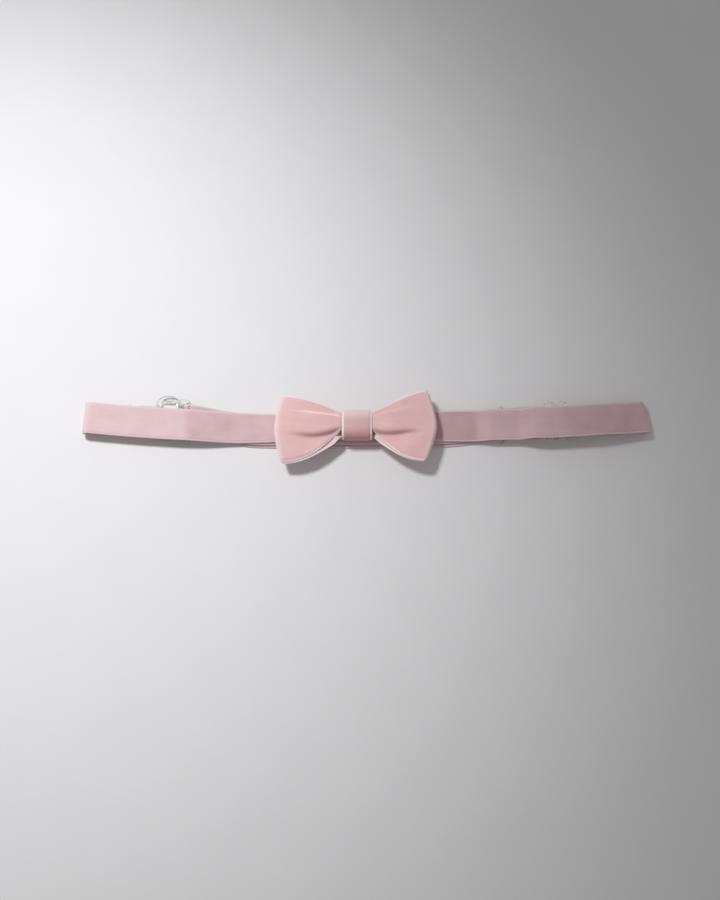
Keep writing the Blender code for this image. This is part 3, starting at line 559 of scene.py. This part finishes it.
# Bow
# One loop of 22 mm single-faced velvet ribbon, paler woven ground inside, gathered to a box pleat in
# its middle with a thread and pressed flat into two soft loops.
BOW_WIDTH = 0.0222
BOW_REACH = {-1: 0.0263, 1: 0.0253}
BOW_DROP = {-1: 0.0015, 1: 0.0007}
BOW_CUP = {-1: 0.0016, 1: 0.0001}
BOW_FULLNESS = {-1: (0.85, 0.75), 1: (0.80, 0.45)}
BOW_END_CURVE = {-1: (0.0024, 0.0024), 1: (0.0038, 0.0028)}
BOW_END_BEND = 1.5
BOW_SPREAD = {-1: 1.0, 1: 1.05}
# Painted highlight along each loop's outer end, stronger on the left one, which faces the lamp
END_PAINTED_HIGHLIGHT = {-1: 0.85, 1: 0.55}
BOW_TURN = 0.0018
BOW_PINCH = 0.0009
BOW_RISE = 0.0075
BOW_TUCK = 0.0016
TUCK_FADE = 0.012
WAIST_HALF = 0.0029
MOUTH_HALF = 0.0036
WAIST_FRONT_Z = 0.00635
WAIST_BACK_Z = 0.0046
BOW_FRONT_Z = 0.0082
# Each pleat: where its crease lies across the ribbon at the knot and further out, how far out it turns,
# how deep it is, how softly it steps down, where it fades, and its painted light: above 0 a painted highlight
# along the ridge's edge, where the pile also opens, below 0 painted shade in the crease
PLEATS = {
    -1: {1: (0.54, 0.54, 0.012, 0.00090, 0.00014, 0.008, 0.021, 0.95),
         -1: (-0.66, -0.18, 0.017, 0.00170, 0.00028, 0.007, 0.021, -0.5)},
    1: {1: (0.58, 0.60, 0.012, 0.00050, 0.00024, 0.005, 0.017, 0.12),
        -1: (-0.84, -0.17, 0.013, 0.00170, 0.00026, 0.008, 0.018, -0.5)},
}
PLEAT_REACH = 0.006
GATHER_FRONT = 0.0004
GATHER_BACK = 0.00025
MOUTH_Z = 0.0077
MOUTH_RISE = 0.0022
BACK_LIFT = 0.0030
BACK_GAP = 0.0007
BACK_SPILL = {-1: 0.0010, 1: 0.0005}
BOW_ROSE = "#e6b5b7"
BOW_TIP = "#f2cacb"
# Colour of pile opened over a fold, also painted highlight and the sheen's tint, and colour of painted shade
BOW_OPENED_AND_HIGHLIGHT = "#fdeeee"
BOW_PAINTED_SHADE = "#b87e82"
BOW_GROUND = "#f6e0df"


def step(value):
    return 1.0 / (1.0 + math.exp(-min(max(value, -40.0), 40.0)))


def pleated(side, free, half, v):
    """Height of the box pleat, a ridge with a flap stepped down on each side of it, and its painted light:
    painted highlight where the pile opens along the ridge's edge, painted shade in the crease below it."""
    gathered = 0.25 + 0.75 * smooth(free / 0.003)
    height, pale = 0.0, 0.0
    for up, (near, outer, span, depth, edge, start, stop, opened_and_painted_light) in PLEATS[side].items():
        crease = near + (outer - near) * smooth(free / span) ** 0.6
        fade = gathered * (1.0 - smooth((free - start) / (stop - start)))
        away = (v - crease) * half * up
        easing = 1.0 - 0.7 * smooth((away - 0.001) / PLEAT_REACH)
        height -= depth * fade * step(away / edge) * easing
        line, soft = (-0.00012, 0.00030) if opened_and_painted_light > 0 else (0.0003, 0.0007)
        shown = smooth(free / 0.002) * (1.0 - smooth((free - 0.010) / 0.007))
        pale += opened_and_painted_light * shown * math.exp(-((away - line) / soft) ** 2)
    return height, pale


def bow_row(side, away, turned, tuck):
    """One row across the bow's ribbon, at a distance from the middle of the knot: points and painted light,
    paler for highlight and darker for shade.
    Turned is 1 on the front, -1 on the back, and between them round the loop's outer end."""
    reach = BOW_REACH[side]
    free = max(away - KNOT_HALF, 0.0)
    share = min(free / (reach - KNOT_HALF - BOW_TURN), 1.0)
    swell = math.sin(math.pi / 2 * share)
    inner = WAIST_HALF + (MOUTH_HALF - WAIST_HALF) * smooth(2 * away / KNOT_HALF - 1)
    gather = 1.0 - smooth((away - KNOT_HALF / 2) / (KNOT_HALF / 2))
    front_z = WAIST_FRONT_Z + (MOUTH_Z - WAIST_FRONT_Z) * smooth((away - KNOT_HALF) / MOUTH_RISE + 0.7)
    front_z += (BOW_FRONT_Z - MOUTH_Z) * smooth(free / BOW_RISE)
    least, most = BOW_FULLNESS[side]
    row, pale = [], []
    for v, _ in bow_places:
        fullness = least + (most - least) * (1 + v) / 2
        spread = (1 - fullness) * share + fullness * swell
        half = inner + (BOW_WIDTH / 2 * BOW_SPREAD[side] - MOUTH_HALF) * spread
        curve = BOW_END_CURVE[side][0 if v < 0 else 1]
        height, opened_and_painted_light = pleated(side, free, half, v)
        front = front_z + height + GATHER_FRONT * gather * math.cos(3 * math.pi * v)
        curl = smooth((-v - 0.3) / 0.7) * smooth(free / 0.003)
        back = WAIST_BACK_Z + BACK_LIFT * curl + GATHER_BACK * gather * math.cos(3 * math.pi * v)
        back = min(back, front - BACK_GAP)
        x = min(away, KNOT_HALF) + free * (1 - curve / (reach - KNOT_HALF) * abs(v) ** BOW_END_BEND)
        y = band_y(KNOT_X) - BOW_DROP[side] * swell + v * half + tuck * (1 - v) / 2
        y -= BACK_SPILL[side] * curl * (1 - turned) / 2 * (1 - 0.8 * share)
        z = (front + back) / 2 + (front - back) / 2 * turned - BOW_CUP[side] * (share * v) ** 2
        row.append(Vector((KNOT_X + side * x, y, z)))
        # Painted light of the pleats on the front, and painted highlight along the outer end
        pale.append(opened_and_painted_light * (1 + turned) / 2 + END_PAINTED_HIGHLIGHT[side] * math.exp(-(reach - away) / 0.0009))
    return row, pale


def bow_half(side):
    """Rows of one loop, from the middle of the front round its outer end to the middle of the back."""
    straight = BOW_REACH[side] - BOW_PINCH
    made = []
    for away in spaced(0.0, straight, 0.0004):
        made.append(bow_row(side, away, 1.0, BOW_TUCK * (1 - smooth((away - KNOT_HALF) / TUCK_FADE))))
    for angle in [math.radians(a) for a in spaced(90.0, -90.0, 9.0)][1:]:
        made.append(bow_row(side, straight + BOW_PINCH * math.cos(angle), math.sin(angle), 0.0))
    for away in spaced(straight, 0.0, 0.0008)[1:]:
        made.append(bow_row(side, away, -1.0, 0.0))
    return made


bow_places = columns(BOW_WIDTH, 72, lip=1.5)
bow_made = bow_half(1)
bow_made += bow_half(-1)[-2:0:-1]
bow_rows = [row for row, _ in bow_made]
bow_pale = [pale for _, pale in bow_made]
bow_pile = velvet("pale_velvet_pile", BOW_ROSE, BOW_TIP, BOW_OPENED_AND_HIGHLIGHT, BOW_PAINTED_SHADE, 0.25)
bow_edge = woven("pale_selvage", "#eed6d6", "#fdf3f2", 0.45)
bow_ground = woven("pale_woven_ground", "#e9c9c9", BOW_GROUND, 0.40)
BOW_CLOTH = (bow_pile, bow_edge, bow_ground)
bow, bow_length = ribbon("bow_loops", bow_rows, bow_places, BOW_WIDTH, BOW_CLOTH, single=True, closed=True,
                         painted_light_and_opened_pile=lambda i, j: bow_pale[i][j])
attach(bow, "front")
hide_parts("bow_ribbon")


# Knot
# A short length of 10 mm velvet ribbon, the bow's own colour, wrapped once round the bow and the band
# and sewn behind. It is drawn tight, so its face is nearly flat between its two selvages.
KNOT_WIDTH = 0.0097
KNOT_REACH = 0.00445
KNOT_BACK_Z = 0.0021
KNOT_FRONT_Z = 0.0082
KNOT_ROUND = 3.3
KNOT_BACK_ROUND = 5.0
KNOT_CROWN = 0.00015
KNOT_SHOULDER = 0.0012


def knot_path():
    """Points (y, z) round the knot, over its face towards the near edge first."""
    middle, half = (KNOT_FRONT_Z + KNOT_BACK_Z) / 2, (KNOT_FRONT_Z - KNOT_BACK_Z) / 2
    points = []
    for angle in [math.radians(a) for a in spaced(0.0, 360.0, 2.5)][:-1]:
        y, z = math.cos(angle), math.sin(angle)
        round_by = KNOT_ROUND if z > 0 else KNOT_BACK_ROUND
        size = (abs(y) ** round_by + abs(z) ** round_by) ** (-1 / round_by)
        points.append((KNOT_REACH * y * size, middle + half * z * size))
    return points


knot_pile = velvet("knot_velvet_pile", "#d5aaac", "#e4bfc0", BOW_OPENED_AND_HIGHLIGHT, BOW_PAINTED_SHADE, 0.25)
knot_places = columns(KNOT_WIDTH, 18, lip=1.4)
knot_rows = []
knot_painted_light = []
for y, z in knot_path():
    # Painted light: a painted highlight towards the far edge, which faces the lamp, and painted shade towards
    # the near one
    knot_painted_light.append(0.40 * smooth((y - 0.0005) / 0.003) - 0.50 * smooth((-y - 0.0005) / 0.0035))
    face = smooth((z - (KNOT_FRONT_Z - KNOT_SHOULDER)) / KNOT_SHOULDER)
    row = []
    for v, _ in knot_places:
        crown = KNOT_CROWN * face * (1 - v * v)
        row.append(Vector((KNOT_X + v * KNOT_WIDTH / 2, band_y(KNOT_X) + y, z + crown)))
    knot_rows.append(row)
knot, knot_length = ribbon("knot_ribbon", knot_rows, knot_places, KNOT_WIDTH,
                           (knot_pile, bow_edge, bow_ground), single=True, closed=True,
                           painted_light_and_opened_pile=lambda i, j: knot_painted_light[i])
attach(knot, "front")
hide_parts("bow_knot")


# Sewing thread
# Spun polyester: turns of it gather the bow inside the knot, a row of slanted stitches closes the knot
# behind, and a bar tack holds each turned-back end of the band.
THREAD = 0.00025
THREAD_LIFT = 0.0001
RIBBON_TOP = PLY_Z + RIBBON_HALF
TACK_STITCH = {"Stitch length": 0.0019, "Thread": THREAD}
TACK_HALF = 0.0009
TACK_REACH = 0.004
TACK_PITCH = 0.0003
TAB_TACK_X = -0.074731
SEAM_Z = 0.0036
SEAM_PITCH = 0.00055


def spun_thread(name, dark, light):
    """Spun thread: a fine twist with a slight shine, drawn at 0.25 mm."""
    material, tree = new_material(name)
    place = add_node(tree, "ShaderNodeTexCoord").outputs["Object"]
    twist = add_node(tree, "ShaderNodeTexNoise", {"Vector": place, "Scale": 4000.0, "Detail": 2.0})
    tone = add_node(tree, "ShaderNodeMix", {0: twist.outputs[0], 6: colour(dark), 7: colour(light)},
                    data_type="RGBA")
    relief = add_node(tree, "ShaderNodeBump", {"Height": twist.outputs[0], "Strength": 0.4,
                                               "Distance": 0.00005})
    shader = add_node(tree, "ShaderNodeBsdfPrincipled", {
        "Base Color": tone.outputs[2], "Roughness": 0.55, "Specular IOR Level": 0.35, "Sheen Weight": 0.2,
        "Normal": relief.outputs[0]})
    add_node(tree, "ShaderNodeOutputMaterial", {"Surface": shader.outputs[0]})
    return material


def laid_along(name, places, tree, sizes):
    """Runs a tree of nodes on points that each know which way they lie, and keeps the plain mesh."""
    points = bpy.data.meshes.new(name)
    points.from_pydata([place for place, _ in places], [], [])
    lie = points.attributes.new("lie", "FLOAT_VECTOR", "POINT")
    lie.data.foreach_set("vector", [value for _, way in places for value in way])
    piece = bpy.data.objects.new(name, points)
    bpy.context.scene.collection.objects.link(piece)
    nodes = piece.modifiers.new(name, "NODES")
    nodes.node_group = tree
    for item in tree.interface.items_tree:
        if item.in_out == "INPUT" and item.name in sizes:
            nodes[item.identifier] = sizes[item.name]
    seen = piece.evaluated_get(bpy.context.evaluated_depsgraph_get())
    made = bpy.data.meshes.new_from_object(seen)
    piece.modifiers.remove(nodes)
    piece.data = made
    made.shade_smooth()
    return piece


def new_tree(name, sizes):
    tree = bpy.data.node_groups.new(name, "GeometryNodeTree")
    tree.interface.new_socket("Points", in_out="INPUT", socket_type="NodeSocketGeometry")
    for size in sizes:
        tree.interface.new_socket(size, in_out="INPUT", socket_type="NodeSocketFloat")
    tree.interface.new_socket("Result", in_out="OUTPUT", socket_type="NodeSocketGeometry")
    return tree, add_node(tree, "NodeGroupInput")


def stitching(material):
    """Nodes that lay one rounded stitch of thread on each point."""
    tree, given = new_tree("stitching", ("Stitch length", "Thread"))
    grain = add_node(tree, "GeometryNodeMeshUVSphere", {"Segments": 8, "Rings": 6, "Radius": 0.5})
    size = add_node(tree, "ShaderNodeCombineXYZ", {0: given.outputs["Thread"], 1: given.outputs["Thread"],
                                                   2: given.outputs["Stitch length"]})
    stitch = add_node(tree, "GeometryNodeTransform", {"Geometry": grain.outputs[0], "Scale": size.outputs[0]})
    way = add_node(tree, "GeometryNodeInputNamedAttribute", {"Name": "lie"}, data_type="FLOAT_VECTOR")
    turned = add_node(tree, "FunctionNodeAlignRotationToVector", {"Vector": way.outputs[0]}, axis="Z")
    laid = add_node(tree, "GeometryNodeInstanceOnPoints", {
        "Points": given.outputs["Points"], "Instance": stitch.outputs[0], "Rotation": turned.outputs[0]})
    real = add_node(tree, "GeometryNodeRealizeInstances", {0: laid.outputs[0]})
    coat = add_node(tree, "GeometryNodeSetMaterial", {0: real.outputs[0], "Material": material})
    add_node(tree, "NodeGroupOutput", {0: coat.outputs[0]})
    return tree


def zigzag(corners):
    """A stitch (middle, direction) between each corner of a zigzag and the next."""
    return [((a + b) / 2, (b - a).normalized()) for a, b in zip(corners, corners[1:])]


def bar_tack(x, middle, z):
    """Corners of a bar tack across a strap."""
    side = across(middle, x)
    return [Vector((x + (TACK_HALF if i % 2 else -TACK_HALF), middle(x), z)) + side * place
            for i, place in enumerate(spaced(-TACK_REACH, TACK_REACH, TACK_PITCH))]


thread = spun_thread("rose_thread", "#c99fa2", "#e6c6c8")
gather_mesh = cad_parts["gather_thread"].data
gather_mesh.materials.clear()
gather_mesh.materials.append(thread)

sewing = stitching(thread)
tab_corners = bar_tack(TAB_TACK_X, left_flap_y, RIBBON_TOP + THREAD_LIFT)
ring_tack = laid_along("ring_tack_stitches", zigzag(tab_corners), sewing, TACK_STITCH)
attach(ring_tack, "left_end")
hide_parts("ring_tack")
tail_corners = bar_tack(TAIL_TACK_X, tail_y, RIBBON_TOP + THREAD_LIFT)
tail_tack = laid_along("tail_tack_stitches", zigzag(tail_corners), sewing, TACK_STITCH)
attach(tail_tack, "slider")
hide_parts("slider_tack")
seam_y = band_y(KNOT_X) + KNOT_REACH + RIBBON_HALF + THREAD_LIFT
seam = [Vector((x, seam_y, SEAM_Z + (TACK_HALF if i % 2 else -TACK_HALF)))
        for i, x in enumerate(spaced(KNOT_X - TACK_REACH, KNOT_X + TACK_REACH, SEAM_PITCH))]
knot_seam = laid_along("knot_seam_stitches", zigzag(seam), sewing, TACK_STITCH)
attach(knot_seam, "front")
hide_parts("knot_stitches")


# Loose yarns
# Single yarns of the ribbon's own weave, come loose at the band's two cut ends: the tail at the slider
# and the tab at the ring. They stick out of the cut and fan out at its corners.
def fraying(material):
    """Nodes that stand one bent, loose yarn on each point of a cut end."""
    tree, given = new_tree("fraying", ("Yarn length", "Yarn", "Spread"))
    line = add_node(tree, "GeometryNodeCurveQuadraticBezier", {
        "Resolution": 6, "Start": (0.0, 0.0, 0.0), "Middle": (0.0, 0.25, 0.55), "End": (0.0, -0.10, 1.0)})
    section = add_node(tree, "GeometryNodeCurvePrimitiveCircle", {"Resolution": 4,
                                                                  "Radius": given.outputs["Yarn"]})
    yarn = add_node(tree, "GeometryNodeCurveToMesh", {"Curve": line.outputs[0],
                                                      "Profile Curve": section.outputs[0], "Fill Caps": True})
    way = add_node(tree, "GeometryNodeInputNamedAttribute", {"Name": "lie"}, data_type="FLOAT_VECTOR")
    stray = add_node(tree, "FunctionNodeRandomValue", {0: (-1.0, -1.0, -0.5), 1: (1.0, 1.0, 0.5), "Seed": 4},
                     data_type="FLOAT_VECTOR")
    spread = add_node(tree, "ShaderNodeVectorMath", {0: stray.outputs[0], "Scale": given.outputs["Spread"]},
                      operation="SCALE")
    leaning = add_node(tree, "ShaderNodeVectorMath", {0: way.outputs[0], 1: spread.outputs[0]},
                       operation="ADD")
    roll = add_node(tree, "FunctionNodeRandomValue", {
        0: (0.0, 0.0, 0.0), 1: (0.0, 0.0, 2 * math.pi), "Seed": 5}, data_type="FLOAT_VECTOR")
    rolled = add_node(tree, "FunctionNodeEulerToRotation", {0: roll.outputs[0]})
    turned = add_node(tree, "FunctionNodeAlignRotationToVector", {"Rotation": rolled.outputs[0],
                                                                  "Vector": leaning.outputs[0]}, axis="Z")
    share = add_node(tree, "FunctionNodeRandomValue", {2: 0.35, 3: 1.0, "Seed": 6}, data_type="FLOAT")
    length = add_node(tree, "ShaderNodeMath", {0: share.outputs[1], 1: given.outputs["Yarn length"]},
                      operation="MULTIPLY")
    laid = add_node(tree, "GeometryNodeInstanceOnPoints", {
        "Points": given.outputs["Points"], "Instance": yarn.outputs[0], "Rotation": turned.outputs[0],
        "Scale": length.outputs[0]})
    real = add_node(tree, "GeometryNodeRealizeInstances", {0: laid.outputs[0]})
    coat = add_node(tree, "GeometryNodeSetMaterial", {0: real.outputs[0], "Material": material})
    add_node(tree, "NodeGroupOutput", {0: coat.outputs[0]})
    return tree


def cut_end(x, middle, z, count):
    """Places of loose yarns along a cut end, which point out of it and fan out at its corners."""
    side = across(middle, x)
    found = []
    for i in range(count):
        v = -1.0 + 2.0 * i / (count - 1)
        fan = 1.6 * v ** 5
        found.append((Vector((x, middle(x), z)) + side * (v * BAND_WIDTH / 2), Vector((-1.0, fan, 0.0))))
    return found


fray = fraying(spun_thread("rose_loose_yarn", "#9a7a7e", "#c0a1a6"))
TAIL_FRAY = {"Yarn length": 0.0026, "Yarn": 0.022, "Spread": 0.6}
TAB_FRAY = {"Yarn length": 0.0012, "Yarn": 0.03, "Spread": 0.45}
tail_fray = laid_along("tail_fray_yarns", cut_end(TAIL_END, tail_y, PLY_Z, 70), fray, TAIL_FRAY)
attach(tail_fray, "slider")
tab_fray = laid_along("tab_fray_yarns", cut_end(RING_X - RING_TAB, left_flap_y, PLY_Z, 60), fray, TAB_FRAY)
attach(tab_fray, "left_end")


# Table, light and camera
# A plain white table top under one soft lamp from the upper left, with a dim fill from all round.
# The camera looks steeply down on the band from in front.
TABLE_HALF = 3
TABLE_Z = -0.00005
LAMP_AT = (-0.175, 0.150, 0.430)
LAMP_TOWARDS = Vector((-0.135, 0.0, 0.0))
LAMP_POWER = 7.1
LAMP_CONE = math.radians(61.0)
LAMP_RADIUS = 0.042
FILL = 0.30
BEYOND = 0.80
VIEW_HEIGHT = math.radians(76.0)
VIEW_DISTANCE = 0.5
METRES_PER_PIXEL = 0.0003226
IMAGE_HEIGHT = 900
SENSOR = 36.0


def table_top(name):
    """Matt white table top with a faint mottle, so that the shadow lies on a real surface."""
    material, tree = new_material(name)
    place = add_node(tree, "ShaderNodeTexCoord").outputs["Object"]
    mottle = add_node(tree, "ShaderNodeTexNoise", {"Vector": place, "Scale": 60.0, "Detail": 4.0})
    tone = add_node(tree, "ShaderNodeMix", {0: mottle.outputs[0], 6: colour("#e6e5e7"), 7: colour("#ebeaec")},
                    data_type="RGBA")
    shader = add_node(tree, "ShaderNodeBsdfPrincipled", {
        "Base Color": tone.outputs[2], "Roughness": 0.7, "Specular IOR Level": 0.2})
    add_node(tree, "ShaderNodeOutputMaterial", {"Surface": shader.outputs[0]})
    return material


table_mesh = bpy.data.meshes.new("table")
table_corners = [(x * TABLE_HALF, y * TABLE_HALF, TABLE_Z) for x, y in ((-1, -1), (1, -1), (1, 1), (-1, 1))]
table_mesh.from_pydata(table_corners, [], [(0, 1, 2, 3)])
table_mesh.materials.append(table_top("white_table_top"))
table = bpy.data.objects.new("table", table_mesh)
bpy.context.scene.collection.objects.link(table)

lamp_data = bpy.data.lights.new("lamp", "SPOT")
lamp_data.energy = LAMP_POWER
lamp_data.spot_size = LAMP_CONE
lamp_data.spot_blend = 1.0
lamp_data.shadow_soft_size = LAMP_RADIUS
lamp = bpy.data.objects.new("lamp", lamp_data)
lamp.location = LAMP_AT
lamp_aim = LAMP_TOWARDS - lamp.location
lamp.rotation_euler = lamp_aim.to_track_quat("-Z", "Y").to_euler()
bpy.context.scene.collection.objects.link(lamp)

world = bpy.data.worlds.new("studio")
world.use_nodes = True
sky = world.node_tree
sky.nodes.clear()
rays = add_node(sky, "ShaderNodeLightPath")
shiny = add_node(sky, "ShaderNodeMath", {
    0: rays.outputs["Is Glossy Ray"], 1: rays.outputs["Is Transmission Ray"]}, operation="MAXIMUM")
seen = add_node(sky, "ShaderNodeMath", {0: rays.outputs["Is Camera Ray"], 1: shiny.outputs[0]},
                operation="MAXIMUM")
fill = add_node(sky, "ShaderNodeBackground", {"Color": (1.0, 1.0, 1.0, 1.0), "Strength": FILL})
beyond = add_node(sky, "ShaderNodeBackground", {"Color": (BEYOND, BEYOND, BEYOND, 1.0), "Strength": 1.0})
both = add_node(sky, "ShaderNodeMixShader", {0: seen.outputs[0], 1: fill.outputs[0], 2: beyond.outputs[0]})
add_node(sky, "ShaderNodeOutputWorld", {"Surface": both.outputs[0]})
bpy.context.scene.world = world

looked_at = Vector((-0.00194, -0.00688, 0.0))
camera_data = bpy.data.cameras.new("camera")
camera_data.sensor_fit = "VERTICAL"
camera_data.sensor_height = SENSOR
camera_data.lens = SENSOR * VIEW_DISTANCE / (IMAGE_HEIGHT * METRES_PER_PIXEL)
camera_data.clip_start = 0.01
camera = bpy.data.objects.new("camera", camera_data)
camera.location = looked_at + Vector((0.0, -math.cos(VIEW_HEIGHT), math.sin(VIEW_HEIGHT))) * VIEW_DISTANCE
camera.rotation_euler = (math.pi / 2 - VIEW_HEIGHT, 0.0, 0.0)
bpy.context.scene.collection.objects.link(camera)
bpy.context.scene.camera = camera
bpy.context.scene.view_settings.view_transform = "Standard"
